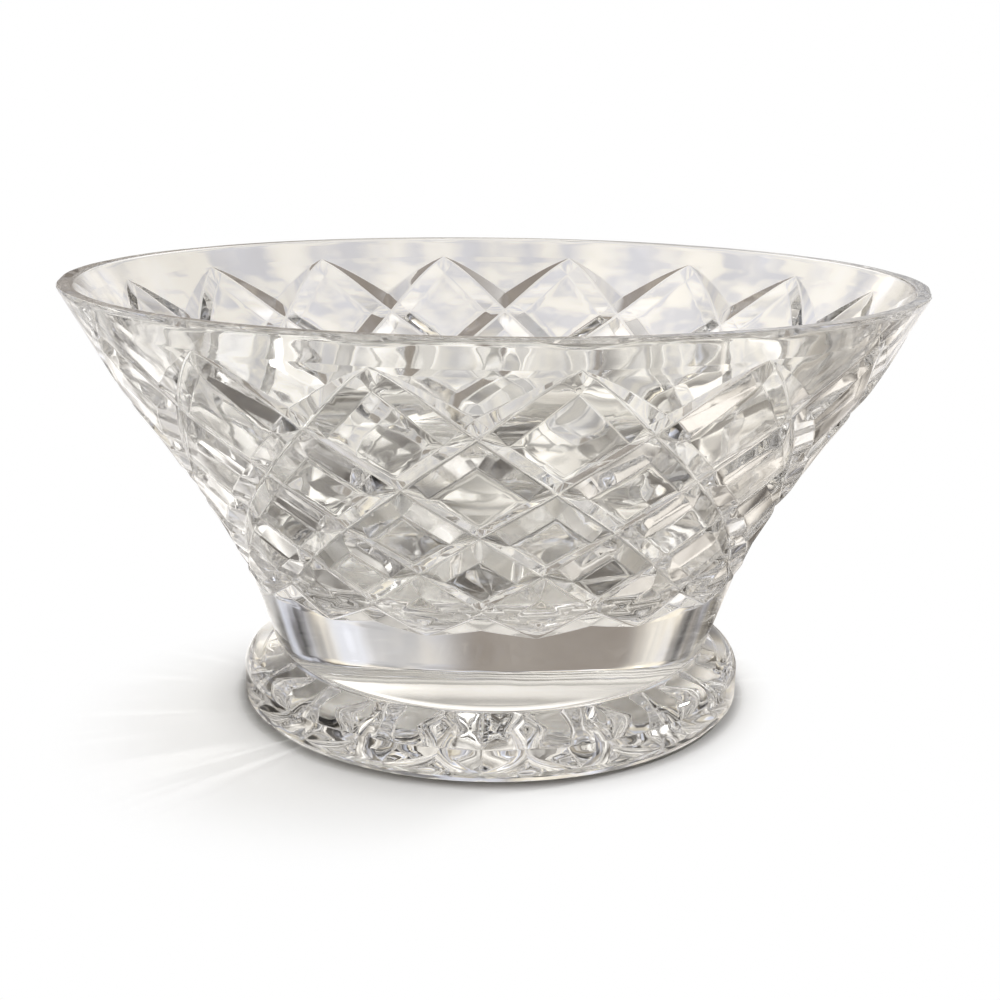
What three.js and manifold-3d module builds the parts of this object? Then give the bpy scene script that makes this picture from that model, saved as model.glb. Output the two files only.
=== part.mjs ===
// Cut crystal bowl: a flared vessel with a lattice of mitre cuts, standing on a thick round foot.
// Millimetres, +Z up, the table at z = 0 and the axis of the bowl on the Z axis.
import * as THREE from 'three';
import Module from 'manifold-3d';

// Overall sizes
const RIM_RADIUS = 105;
const HEIGHT = 107.5;
const FOOT_RADIUS = 65;
const FOOT_HEIGHT = 13.75;
const NECK_RADIUS = 55.7;

// Wall, lip and inside
const WALL = 6;
const LIP = 3.6;
const LIP_ROUND = 0.8;
const FLOOR_THICKNESS = 22;
const FLOOR_RADIUS = 36;

// Lattice of mitre cuts
const COLUMNS = 16;
const CUT_DEPTH = 2.0;
const CUT_HALF_WIDTH = 4.6;
const CUT_NARROWING = 0.25;
const CUT_RUNOUT = 0.4;
const FIRST_CUT_TURN = -2.0;
const SIDE_STEPS = 3;

// Scalloped rim, one shallow dip above each top point of the lattice
const SCALLOP_DEPTH = 0.4;

// Foot and the star under it
const SHOULDER_ROUND = 7.5;
const SHOULDER_RUN = 4.4;
const SHOULDER_FALL = 1.9;
const TABLE_BEVEL = 1.6;
const LAND_WIDTH = 5;
const RECESS = 0.8;
const STAR_RAYS = 16;
const STAR_DEPTH = 2.6;
const STAR_HALF_WIDTH = 6.3;
const STAR_OUTER = 0.97;
const STAR_WIDEST = 0.66;

// Heights of the lattice rows and their radii, as parts of the height and the rim radius above the foot
const ROWS = [
  { height: 0.933, radius: 0.970 },
  { height: 0.756, radius: 0.886 },
  { height: 0.612, radius: 0.796 },
  { height: 0.490, radius: 0.726 },
  { height: 0.379, radius: 0.665 },
  { height: 0.280, radius: 0.622 },
  { height: 0.217, radius: 0.595 },
];
const LAST_ROW = ROWS.length - 1;
const HALF_COLUMN = Math.PI / COLUMNS;
const TURN = THREE.MathUtils.degToRad(FIRST_CUT_TURN);
const BODY_HEIGHT = HEIGHT - FOOT_HEIGHT;

// Outer outline from the lip down to the neck: row r of the lattice is control point r + 1
const rowPoint = (row) => new THREE.Vector2(
  row.radius * RIM_RADIUS,
  FOOT_HEIGHT + row.height * BODY_HEIGHT,
);
const lastRow = rowPoint(ROWS[LAST_ROW]);
const outline = new THREE.SplineCurve([
  new THREE.Vector2(RIM_RADIUS, HEIGHT - LIP_ROUND),
  ...ROWS.map(rowPoint),
  new THREE.Vector2(NECK_RADIUS, FOOT_HEIGHT).lerp(lastRow, 0.6),
  new THREE.Vector2(NECK_RADIUS, FOOT_HEIGHT),
]);
const OUTLINE_SPANS = outline.points.length - 1;

// Point of the outer outline at a lattice row; rows below zero reach the lip, rows past the last the neck
function outlineAt(row) {
  return outline.getPoint((row + 1) / OUTLINE_SPANS);
}

// Unit normal of the outline, pointing out of the glass
function outlineNormal(row) {
  const tangent = outline.getTangent(THREE.MathUtils.clamp((row + 1) / OUTLINE_SPANS, 0, 1));
  return new THREE.Vector2(-tangent.y, tangent.x);
}

// Place on the outer wall: half columns around, lattice rows down, and depth into the glass
function wallPoint(halfColumn, row, depth) {
  const at = outlineAt(row).addScaledVector(outlineNormal(row), -depth);
  const angle = TURN - Math.PI / 2 + halfColumn * HALF_COLUMN;
  return new THREE.Vector3(at.x * Math.cos(angle), at.x * Math.sin(angle), at.y);
}

// Half width of a cut in cell units: it narrows down the wall and runs out to a point at both ends
function cutHalf(row) {
  const at = THREE.MathUtils.clamp(row, 0.5, LAST_ROW - 0.5);
  const across = outlineAt(at).x * HALF_COLUMN;
  const down = outlineAt(at - 0.5).distanceTo(outlineAt(at + 0.5));
  const spacing = (2 * across * down) / Math.hypot(across, down);
  return (CUT_HALF_WIDTH * (1 - (CUT_NARROWING * at) / LAST_ROW)) / spacing;
}

// Share of the full cut depth: nothing at the top and bottom points, everything after the run-out
function cutShare(row) {
  const inside = Math.min(row, LAST_ROW - row);
  return THREE.MathUtils.clamp(inside / CUT_RUNOUT, 0, 1);
}

// Collects triangles and welds points that fall together
class Skin {
  constructor() {
    this.points = [];
    this.faces = [];
    this.seen = new Map();
  }

  add(point) {
    const key = [point.x, point.y, point.z].map((value) => Math.round(value * 1e4)).join();
    if (!this.seen.has(key)) {
      this.seen.set(key, this.points.length);
      this.points.push(point);
    }
    return this.seen.get(key);
  }

  triangle(a, b, c) {
    if (a !== b && b !== c && c !== a) {
      this.faces.push(a, b, c);
    }
  }

  // Quads between neighbouring rows of points; each row has the same number of points
  sheet(rows) {
    const ids = rows.map((row) => row.map((point) => this.add(point)));
    for (let i = 0; i + 1 < ids.length; i += 1) {
      for (let j = 0; j + 1 < ids[i].length; j += 1) {
        this.triangle(ids[i][j], ids[i + 1][j], ids[i + 1][j + 1]);
        this.triangle(ids[i][j], ids[i + 1][j + 1], ids[i][j + 1]);
      }
    }
  }

  // Triangles between rows that each have one point fewer than the row before
  wedge(rows) {
    const ids = rows.map((row) => row.map((point) => this.add(point)));
    for (let i = 0; i + 1 < ids.length; i += 1) {
      for (let j = 0; j < ids[i + 1].length; j += 1) {
        this.triangle(ids[i][j], ids[i + 1][j], ids[i][j + 1]);
        if (j > 0) {
          this.triangle(ids[i][j], ids[i + 1][j - 1], ids[i + 1][j]);
        }
      }
    }
  }

  geometry() {
    const result = new THREE.BufferGeometry();
    const values = this.points.flatMap((point) => [point.x, point.y, point.z]);
    result.setAttribute('position', new THREE.Float32BufferAttribute(values, 3));
    result.setIndex(this.faces);
    result.computeVertexNormals();
    return result;
  }
}

const steps = (count) => Array.from({ length: count + 1 }, (_, i) => i / count);
const SIDE = steps(SIDE_STEPS);

// Point inside one diamond: a and b run from 0 to 1 down its two upper sides
function cellPoint(corner, a, b, depth) {
  return wallPoint(corner.halfColumn + a - b, corner.row + a + b, depth);
}

// Bottom line of a cut at part t of a diamond's side, sunk by the full depth away from the ends
function cutLine(corner, a, b) {
  return cellPoint(corner, a, b, CUT_DEPTH * cutShare(corner.row + a + b));
}

// One diamond: four sloping flanks down to the bottoms of the cuts and the plain face left between them
function diamond(skin, corner) {
  const top = cutHalf(corner.row + 0.4);
  const low = cutHalf(corner.row + 1.6);
  const side = cutHalf(corner.row + 1);
  const face = (s, t) => {
    const up = new THREE.Vector2(top, top);
    const right = new THREE.Vector2(1 - side, side);
    const left = new THREE.Vector2(side, 1 - side);
    const down = new THREE.Vector2(1 - low, 1 - low);
    const across = up.lerp(right, s);
    return across.lerp(left.lerp(down, s), t);
  };
  const facePoint = (s, t) => {
    const at = face(s, t);
    return cellPoint(corner, at.x, at.y, 0);
  };
  skin.sheet(SIDE.map((t) => SIDE.map((s) => facePoint(s, t))));
  skin.sheet([SIDE.map((t) => cutLine(corner, t, 0)), SIDE.map((t) => facePoint(t, 0))]);
  skin.sheet([SIDE.map((t) => facePoint(t, 1)), SIDE.map((t) => cutLine(corner, t, 1))]);
  skin.sheet(SIDE.map((t) => [cutLine(corner, 0, t), facePoint(0, t)]));
  skin.sheet(SIDE.map((t) => [facePoint(1, t), cutLine(corner, 1, t)]));
}

// Half diamond under the lip: flanks along its two lower sides, plain glass up to the row of top points
function upperHalf(skin, halfColumn) {
  const corner = { halfColumn, row: -1 };
  const half = cutHalf(1);
  const tip = new THREE.Vector2(1 - half, 1 - half);
  const left = new THREE.Vector2(0, 1);
  const right = new THREE.Vector2(1, 0);
  const edge = (end, t) => tip.clone().lerp(end, t);
  const plain = (at) => cellPoint(corner, at.x, at.y, 0);
  skin.wedge(SIDE.map((t, i) => {
    const from = edge(left, 1 - t);
    const to = edge(right, 1 - t);
    const count = SIDE_STEPS - i;
    return (count ? steps(count) : [0]).map((s) => plain(from.clone().lerp(to, s)));
  }));
  skin.sheet([SIDE.map((t) => plain(edge(left, 1 - t))), SIDE.map((t) => cutLine(corner, t, 1))]);
  skin.sheet([SIDE.map((t) => plain(edge(right, t))), SIDE.map((t) => cutLine(corner, 1, 1 - t))]);
}

// Half diamond above the neck: flanks along its two upper sides, plain glass down to the row of bottom points
function lowerHalf(skin, halfColumn) {
  const corner = { halfColumn, row: LAST_ROW - 1 };
  const half = cutHalf(LAST_ROW - 1);
  const tip = new THREE.Vector2(half, half);
  const left = new THREE.Vector2(0, 1);
  const right = new THREE.Vector2(1, 0);
  const edge = (end, t) => tip.clone().lerp(end, t);
  const plain = (at) => cellPoint(corner, at.x, at.y, 0);
  skin.wedge(SIDE.map((t, i) => {
    const from = edge(right, 1 - t);
    const to = edge(left, 1 - t);
    const count = SIDE_STEPS - i;
    return (count ? steps(count) : [0]).map((s) => plain(from.clone().lerp(to, s)));
  }));
  skin.sheet([SIDE.map((t) => cutLine(corner, t, 0)), SIDE.map((t) => plain(edge(right, t)))]);
  skin.sheet([SIDE.map((t) => cutLine(corner, 0, 1 - t)), SIDE.map((t) => plain(edge(left, 1 - t)))]);
}

// Turned part of the vessel: rings of points from the lattice up over the lip, inside and down to the floor
function ring(radius, height, dip) {
  const count = COLUMNS * SIDE_STEPS;
  return Array.from({ length: count + 1 }, (_, i) => {
    const angle = TURN - Math.PI / 2 + HALF_COLUMN * (1 + (2 * i) / SIDE_STEPS);
    const low = i % SIDE_STEPS === 0 ? dip * SCALLOP_DEPTH : 0;
    return new THREE.Vector3(radius * Math.cos(angle), radius * Math.sin(angle), height - low);
  });
}

function innerRings() {
  const floor = FOOT_HEIGHT + FLOOR_THICKNESS;
  const wall = [0, 1, 2, 3, 4, 5].map((row) => {
    const thick = THREE.MathUtils.lerp(LIP, WALL, Math.min(1, (row + 1) / 3));
    return outlineAt(row).addScaledVector(outlineNormal(row), -thick);
  });
  const last = wall[wall.length - 1];
  const bend = new THREE.QuadraticBezierCurve(
    last,
    new THREE.Vector2(last.x - 0.45 * (last.y - floor), floor),
    new THREE.Vector2(FLOOR_RADIUS, floor),
  );
  return [...wall, ...bend.getPoints(5).slice(1)];
}

function makeBowl() {
  const skin = new Skin();
  for (let column = 0; column < COLUMNS; column += 1) {
    for (let row = 0; row + 2 <= LAST_ROW; row += 1) {
      diamond(skin, { halfColumn: 2 * column + 1 + (row % 2), row });
    }
    upperHalf(skin, 2 * column);
    lowerHalf(skin, 2 * column + (LAST_ROW % 2 === 0 ? 0 : 1));
  }
  const inner = innerRings();
  const lipInner = RIM_RADIUS - LIP;
  const over = [
    ring(inner[0].x, inner[0].y, 0),
    ring(lipInner, HEIGHT - LIP_ROUND, 1),
    ring(lipInner + LIP_ROUND, HEIGHT, 1),
    ring(RIM_RADIUS - LIP_ROUND, HEIGHT, 1),
    ring(RIM_RADIUS, HEIGHT - LIP_ROUND, 1),
    ring(outlineAt(0).x, outlineAt(0).y, 0),
  ];
  const inside = inner.map((at) => ring(at.x, at.y, 0)).reverse();
  const floor = [ring(0, FOOT_HEIGHT + FLOOR_THICKNESS, 0)];
  skin.sheet([...floor, ...inside, ...over.slice(1)]);
  const neck = [0, 0.5, 1].map((t) => {
    const at = lastRow.clone().lerp(new THREE.Vector2(NECK_RADIUS, FOOT_HEIGHT), t);
    return ring(at.x, at.y, 0);
  });
  skin.sheet([...neck, ring(0, FOOT_HEIGHT, 0)]);
  return skin.geometry();
}

// Closed manifold solid from a geometry, for cutting
const wasm = await Module();
wasm.setup();

function toSolid(geometry) {
  const skin = new Skin();
  const place = geometry.getAttribute('position');
  const order = geometry.index ? [...geometry.index.array] : steps(place.count - 1).map((_, i) => i);
  const ids = order.map((i) => skin.add(new THREE.Vector3().fromBufferAttribute(place, i)));
  for (let i = 0; i < ids.length; i += 3) {
    skin.triangle(ids[i], ids[i + 1], ids[i + 2]);
  }
  return new wasm.Manifold(new wasm.Mesh({
    numProp: 3,
    vertProperties: new Float32Array(skin.points.flatMap((point) => [point.x, point.y, point.z])),
    triVerts: new Uint32Array(skin.faces),
  }));
}

function toGeometry(solid) {
  const mesh = solid.getMesh();
  const result = new THREE.BufferGeometry();
  result.setAttribute('position', new THREE.Float32BufferAttribute(mesh.vertProperties, 3));
  result.setIndex([...mesh.triVerts]);
  result.computeVertexNormals();
  return result;
}

// One leaf-shaped cut of the star: pointed at both ends, deepest where it is widest
function starRay(angle, inner, outer) {
  const skin = new Skin();
  const middle = inner + STAR_WIDEST * (outer - inner);
  const at = (along, across, height) => new THREE.Vector3(
    along * Math.cos(angle) - across * Math.sin(angle),
    along * Math.sin(angle) + across * Math.cos(angle),
    height,
  );
  const start = skin.add(at(inner, 0, RECESS - 0.5));
  const end = skin.add(at(outer, 0, RECESS - 0.5));
  const left = skin.add(at(middle, STAR_HALF_WIDTH, RECESS - 0.5));
  const right = skin.add(at(middle, -STAR_HALF_WIDTH, RECESS - 0.5));
  const ridge = skin.add(at(middle, 0, RECESS + STAR_DEPTH));
  skin.triangle(start, ridge, left);
  skin.triangle(left, ridge, end);
  skin.triangle(end, ridge, right);
  skin.triangle(right, ridge, start);
  skin.triangle(start, left, right);
  skin.triangle(end, right, left);
  return skin.geometry();
}

function makeFoot() {
  const land = FOOT_RADIUS - TABLE_BEVEL;
  const inner = land - LAND_WIDTH;
  const profile = new THREE.Path();
  profile.moveTo(0, RECESS);
  profile.lineTo(inner - RECESS, RECESS);
  profile.lineTo(inner, 0);
  profile.lineTo(land, 0);
  profile.lineTo(FOOT_RADIUS, TABLE_BEVEL);
  const turn = FOOT_HEIGHT - SHOULDER_ROUND;
  profile.bezierCurveTo(
    FOOT_RADIUS, turn + 0.55 * SHOULDER_ROUND,
    NECK_RADIUS + SHOULDER_RUN, FOOT_HEIGHT - SHOULDER_FALL,
    NECK_RADIUS, FOOT_HEIGHT,
  );
  profile.lineTo(0, FOOT_HEIGHT);
  const blank = new THREE.LatheGeometry(profile.getPoints(6), COLUMNS * 4);
  blank.rotateX(Math.PI / 2);
  let solid = toSolid(blank);
  for (let ray = 0; ray < STAR_RAYS; ray += 1) {
    const angle = TURN + (2 * Math.PI * ray) / STAR_RAYS;
    solid = solid.subtract(toSolid(starRay(angle, 0.08 * inner, STAR_OUTER * inner)));
  }
  return toGeometry(solid);
}

const crystal = new THREE.MeshStandardMaterial({ color: 0xe9edee, roughness: 0.04, metalness: 0 });

function node(name, geometry) {
  const mesh = new THREE.Mesh(geometry, crystal.clone());
  mesh.name = name;
  return mesh;
}

const bowl = new THREE.Group();
bowl.name = 'cut_crystal_bowl';
bowl.add(node('bowl', makeBowl()));
bowl.add(node('foot', makeFoot()));

export default bowl;
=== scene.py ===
# %% [markdown]
# # A cut crystal bowl
# The object is a flared bowl of clear crystal on a thick round foot. A wheel has cut two families of
# V-shaped grooves into its outside, and what stays between them is a lattice of diamonds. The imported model
# gives the frame: one vessel and one foot, at their real size, with the table at height zero.

import bpy
import numpy as np
from mathutils import Matrix


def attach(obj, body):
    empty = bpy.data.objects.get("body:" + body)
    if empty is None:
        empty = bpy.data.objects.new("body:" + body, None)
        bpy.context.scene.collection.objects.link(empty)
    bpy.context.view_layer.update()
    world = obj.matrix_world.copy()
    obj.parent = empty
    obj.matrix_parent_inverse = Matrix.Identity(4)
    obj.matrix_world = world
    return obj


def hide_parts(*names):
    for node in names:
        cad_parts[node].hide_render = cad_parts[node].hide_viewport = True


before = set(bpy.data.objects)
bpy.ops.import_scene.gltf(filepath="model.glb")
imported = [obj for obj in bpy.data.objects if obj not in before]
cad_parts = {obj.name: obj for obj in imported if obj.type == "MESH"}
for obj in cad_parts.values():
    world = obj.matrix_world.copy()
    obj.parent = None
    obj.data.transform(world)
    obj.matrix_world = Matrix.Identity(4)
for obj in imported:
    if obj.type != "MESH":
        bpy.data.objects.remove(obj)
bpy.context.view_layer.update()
MM = 0.001

# %% [markdown]
# ## The outline of the vessel
# A glassmaker thinks of the wall as one outline turned about the axis. It could be drawn as a Bezier curve
# and spun, but the cuts need to know where they are on it, so the outline is a smooth curve through the
# rows of the lattice: row 0 holds the top points of the pattern, row 6 the bottom points. The diamonds
# stand a little proud of the plain glass beside them, so at these two rows the outline is moved out by a
# small step.

# %% Sizes in millimetres
RIM_RADIUS = 105.0
HEIGHT = 107.5
FOOT_RADIUS = 64.2
FOOT_HEIGHT = 13.75
NECK_RADIUS = 55.7
WALL = 6.0
LIP = 3.6
LIP_ROUND = 0.5
FLOOR_HEIGHT = FOOT_HEIGHT + 22.0
FLOOR_RADIUS = 36.0
TOP_STEP = 0.9
LOW_STEP = 1.2
CREASE = 0.6
COLUMNS = 16
TURN = np.radians(-2.0)
HALF_COLUMN = np.pi / COLUMNS
print("width of a column at the rim in mm:", round(2 * RIM_RADIUS * HALF_COLUMN, 1))

# %% The outline through the rows
# Shares of the rim's radius and of the height above the foot, one pair for each row of the lattice.
ROW_SHARES = np.array([
    [0.970, 0.933], [0.886, 0.756], [0.796, 0.612], [0.726, 0.490],
    [0.665, 0.379], [0.622, 0.280], [0.595, 0.217],
])
TOP_OUT = np.array([0.85, -0.53])
LOW_OUT = np.array([0.94, -0.34])
NECK_SHARE = 0.6
NECK_HOLLOW = np.array([-0.6, 1.6])
LAST_ROW = len(ROW_SHARES) - 1
LIP_ROW = -1
NECK_ROW = LAST_ROW + 2
ROW_NUDGE = 1e-3

rows = ROW_SHARES * [RIM_RADIUS, HEIGHT - FOOT_HEIGHT] + [0, FOOT_HEIGHT]
rows[0] += TOP_STEP * TOP_OUT
rows[-1] += LOW_STEP * LOW_OUT
lip_point = np.array([RIM_RADIUS, HEIGHT - LIP_ROUND]) + TOP_STEP * TOP_OUT
neck = np.array([NECK_RADIUS, FOOT_HEIGHT])
neck_middle = neck + NECK_SHARE * (rows[-1] - neck) + NECK_HOLLOW
OUTLINE = np.vstack([lip_point, rows, neck_middle, neck])


def spline(points, at):
    """Catmull-Rom curve: in each span a cubic leaves every point along half the chord of its neighbours."""
    last = len(points) - 1
    at = np.clip(np.asarray(at, float), 0, last)
    span = np.minimum(at.astype(int), last - 1)
    t = (at - span)[..., None]
    before, start, end, after = (points[np.clip(span + k, 0, last)] for k in (-1, 0, 1, 2))
    leave, arrive = (end - before) / 2, (after - start) / 2
    bend = 3 * (end - start) - 2 * leave - arrive
    return start + leave * t + bend * t**2 + (2 * (start - end) + leave + arrive) * t**3


def outline(row):
    """Radius and height of the uncut wall at a row of the lattice, from the lip's row to the neck's."""
    return spline(OUTLINE, np.asarray(row) - LIP_ROW)


def outward(row):
    """Unit normal of the outline: its tangent turned a quarter turn away from the glass."""
    row = np.asarray(row, float)
    along = outline(np.minimum(row + ROW_NUDGE, NECK_ROW)) - outline(np.maximum(row - ROW_NUDGE, LIP_ROW))
    along /= np.linalg.norm(along, axis=-1, keepdims=True)
    return np.stack([-along[..., 1], along[..., 0]], -1)


def wall(half_column, row, depth):
    """Points of the outer wall: the outline at a row, sunk along its normal, turned by half columns."""
    at = outline(row) - np.asarray(depth)[..., None] * outward(row)
    angle = TURN - np.pi / 2 + half_column * HALF_COLUMN
    return np.stack([at[..., 0] * np.cos(angle), at[..., 0] * np.sin(angle), at[..., 1]], -1)


print("outline radii:", np.round(outline(np.arange(LIP_ROW, NECK_ROW + 1))[:, 0], 1))

# %% [markdown]
# ## The mitre cuts
# Each cut is a V-shaped groove that a wheel has ground and polished. It could be cut with booleans, but a
# mesh whose lines follow the grooves keeps every edge crisp with few faces. So one diamond is a square
# grid: both its parameters run from the bottom of one groove to the bottom of the next, and the depth is
# the deeper of the two grooves. At the top and bottom rows the plain glass lies a little lower than the
# diamonds, so there the outer side of a groove narrows to a sharp point and the inner side keeps its width.

# %% Grid lines across a diamond
CUT_DEPTH = 2.0
CUT_HALF = 4.6
CUT_NARROWING = 0.25
EDGE_ROUND = 0.07
BOTTOM_ROUND = 0.13
FLAT_STEPS = 9

# Lines from the bottom of a groove to its edge, in half widths of it, and how far each of them sinks.
near = np.array([0, BOTTOM_ROUND, 1 - EDGE_ROUND, 1 + EDGE_ROUND])
near_sink = np.array([1 - BOTTOM_ROUND / 2, 1 - BOTTOM_ROUND, EDGE_ROUND, 0]) / (1 - BOTTOM_ROUND / 2)
flat = np.linspace(0, 1, FLAT_STEPS + 1)[1:-1]
NEAR_LINES = len(near)
STATION = np.concatenate([np.zeros(NEAR_LINES), flat, np.ones(NEAR_LINES)])
FROM_START = np.concatenate([near, (1 + EDGE_ROUND) * (1 - flat), np.zeros(NEAR_LINES)])
FROM_END = FROM_START[::-1]
NEAR_SINK = np.concatenate([near_sink, np.zeros(len(flat) + NEAR_LINES)])
FAR_SINK = NEAR_SINK[::-1]
STEPS = len(STATION) - 1
FLAT_END = STEPS - (NEAR_LINES - 1)
p_line, q_line = np.meshgrid(np.arange(STEPS + 1), np.arange(STEPS + 1), indexing="ij")


def cut_half(row):
    """Half the width of a cut as a share of the distance between two cuts; it narrows down the wall."""
    at = np.clip(row, 0.5, LAST_ROW - 0.5)
    across = outline(at)[..., 0] * HALF_COLUMN
    down = np.linalg.norm(outline(at - 0.5) - outline(at + 0.5), axis=-1)
    spacing = 2 * across * down / np.hypot(across, down)
    return CUT_HALF * (1 - CUT_NARROWING * at / LAST_ROW) / spacing


def cut_depth(row):
    """Depth of the bottom line of a cut: full over the wall, and level with the plain glass at the ends."""
    return np.interp(row, [0, 1, LAST_ROW - 1, LAST_ROW], [TOP_STEP, CUT_DEPTH, CUT_DEPTH, LOW_STEP])


def station(index, start_half, end_half):
    """Place of a grid line between two grooves: its fixed share plus the half widths of both grooves."""
    return STATION[index] + FROM_START[index] * start_half - FROM_END[index] * end_half


print("cut width in mm, top and bottom:", CUT_HALF * 2, round(CUT_HALF * 2 * (1 - CUT_NARROWING), 1))

# %% Whole diamonds


def diamonds(half_column, row):
    """Grids of points for diamonds with the given top corners.

    Grid lines p and q count from one groove to the next; a and b are the same in units of the diamond's side.
    The point lies a - b half columns to the right and a + b rows below the top corner.
    """
    half_column, row = (np.asarray(v, float)[:, None, None] for v in (half_column, row))
    p, q = p_line[None], q_line[None]
    a = station(p, cut_half(row + q / STEPS), cut_half(row + 1 + q / STEPS))
    b = station(q, cut_half(row + p / STEPS), cut_half(row + 1 + p / STEPS))
    sink = np.maximum(NEAR_SINK, FAR_SINK)
    depth = cut_depth(row + a + b) * np.maximum(sink[p], sink[q])
    return wall(half_column + a - b, row + a + b, depth)


print("points in one diamond:", p_line.size)

# %% Plain triangles above and below the lattice


def half_diamonds(half_column, edge_row, inner_row, step):
    """Grids for the plain triangles outside the lattice, with one corner at a crossing and two at end points.

    Beside each groove runs a flank whose width grows evenly from nothing at the end point to full at the
    crossing. The triangle between the flanks is filled by lines that run level from flank to flank.
    """
    edge_half, inner_half = cut_half(edge_row), cut_half(inner_row)
    along = station(np.arange(STEPS + 1), edge_half, inner_half)
    share = np.clip(along / along[FLAT_END], 0, 1)
    from_groove = near[np.clip(STEPS - np.arange(STEPS + 1), 0, NEAR_LINES - 1)]
    flank = 1 - from_groove[:, None] * inner_half * share[None]
    level = np.clip(p_line + q_line - FLAT_END, 0, FLAT_END)
    part = np.clip((p_line - level) / np.maximum(FLAT_END - level, 1), 0, 1)
    side = flank[FLAT_END]
    a = along[level] * (1 - part) + side[level] * part
    b = side[level] * (1 - part) + along[level] * part
    in_p, in_q = p_line >= FLAT_END, q_line >= FLAT_END
    a = np.where(in_p, flank[p_line, q_line], np.where(in_q, along[p_line], a))
    b = np.where(in_q, flank[q_line, p_line], np.where(in_p, along[q_line], b))
    toward = 1 if inner_row > edge_row else -1
    from_edge = np.clip(a + b - 1, 0, 1)
    row = edge_row + toward * from_edge
    plain = step * (1 - from_edge**2)
    depth = plain + (cut_depth(row) - plain) * np.maximum(FAR_SINK[p_line], FAR_SINK[q_line])
    shift = np.asarray(half_column, float)[:, None, None] + toward * (a - b)
    return wall(shift, row[None] + 0 * shift, depth[None] + 0 * shift)


def diamond_faces(half=False):
    """Triangles of one grid: squares on ridges are split along them, half grids leave out an empty corner."""
    p, q = (v.ravel() for v in np.meshgrid(np.arange(STEPS), np.arange(STEPS), indexing="ij"))
    corner = [np.stack([p + i, q + j], -1) for i, j in ((0, 0), (0, 1), (1, 1), (1, 0))]
    along = (p >= FLAT_END) & (q >= FLAT_END) if half else (2 * p < STEPS) == (2 * q < STEPS)
    first = np.where(along[:, None, None], np.stack([corner[0], corner[1], corner[2]], 1),
                     np.stack([corner[0], corner[1], corner[3]], 1))
    second = np.where(along[:, None, None], np.stack([corner[0], corner[2], corner[3]], 1),
                      np.stack([corner[3], corner[1], corner[2]], 1))
    faces = np.concatenate([first, second])
    if half:
        faces = faces[(faces.sum(-1) >= FLAT_END).all(1)]
    return faces[..., 0] * (STEPS + 1) + faces[..., 1]


print("triangles in a whole and in a plain one:", len(diamond_faces()), len(diamond_faces(half=True)))

# %% [markdown]
# ## Turned rings and closed skins
# Lip, inside, neck and foot are turned shapes: a profile carried round the axis. A Screw modifier could
# turn them, but their rings have to meet the lattice point for point. So all sheets of a piece are put into
# one list, points that fall together are welded, and triangles that shrink to nothing are dropped: the
# piece is one closed skin that faces out.

# %% Sheets
WELD_STEPS = 1e3
SHARP_ANGLE = np.radians(29)


def sheet_faces(count, width):
    """Two triangles for each square of a grid of count by width points."""
    i, j = (v.ravel() for v in np.meshgrid(np.arange(count - 1), np.arange(width - 1), indexing="ij"))
    a, b, c, d = i * width + j, (i + 1) * width + j, (i + 1) * width + j + 1, i * width + j + 1
    return np.concatenate([np.stack([a, b, c], 1), np.stack([a, c, d], 1)])


def ring_sheet(profile, angles):
    """Carries a profile (radius, height) round the axis: radius times cosine and sine of each angle."""
    radius, height = profile[:, :1], profile[:, 1:2]
    points = np.stack([radius * np.cos(angles), radius * np.sin(angles), height + 0 * angles], -1)
    return points, sheet_faces(*points.shape[:2])


def bezier(points, count):
    """Bezier curve by repeated mixing of neighbouring control points."""
    t = np.linspace(0, 1, count)[:, None, None]
    mix = np.asarray(points, float)[None] + 0 * t
    while mix.shape[1] > 1:
        mix = mix[:, :-1] * (1 - t) + mix[:, 1:] * t
    return mix[:, 0]


print("points are welded in steps of", 1 / WELD_STEPS, "mm")

# %% Welding and meshes


def welded(sheets):
    """One list of points, triangles and material numbers: points that round to the same place become one."""
    points, faces, finish, start = [], [], [], 0
    for sheet, triangles, number in sheets:
        flat_points = sheet.reshape(-1, 3)
        points.append(flat_points)
        faces.append(triangles.reshape(-1, 3) + start)
        finish.append(np.full(len(triangles.reshape(-1, 3)), number))
        start += len(flat_points)
    points, faces, finish = np.concatenate(points), np.concatenate(faces), np.concatenate(finish)
    rounded = np.round(points * WELD_STEPS).astype(np.int64)
    first, where = np.unique(rounded, axis=0, return_index=True, return_inverse=True)[1:]
    points, faces = points[first], where.reshape(-1)[faces]
    real = (faces[:, 0] != faces[:, 1]) & (faces[:, 1] != faces[:, 2]) & (faces[:, 2] != faces[:, 0])
    return points, faces[real], finish[real]


def closed_skin(name, sheets, materials):
    """Welds sheets of (points, triangles, material number) into one smooth mesh object, in metres."""
    points, faces, finish = welded(sheets)
    mesh = bpy.data.meshes.new(name)
    mesh.from_pydata(points * MM, [], faces)
    mesh.polygons.foreach_set("use_smooth", np.ones(len(faces), bool))
    for material in materials:
        mesh.materials.append(material)
    mesh.polygons.foreach_set("material_index", finish.astype(np.int32))
    mesh.set_sharp_from_angle(angle=SHARP_ANGLE)
    piece = bpy.data.objects.new(name, mesh)
    bpy.context.scene.collection.objects.link(piece)
    normals = piece.modifiers.new("Crisp faces", "WEIGHTED_NORMAL")
    normals.keep_sharp = True
    edges = np.sort(np.concatenate([faces[:, [0, 1]], faces[:, [1, 2]], faces[:, [2, 0]]]), 1)
    uses = np.unique(edges, axis=0, return_counts=True)[1]
    loose = int((uses != 2).sum())
    print(name, len(points), "points", len(faces), "triangles, edges not shared by two:", loose)
    return piece


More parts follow.
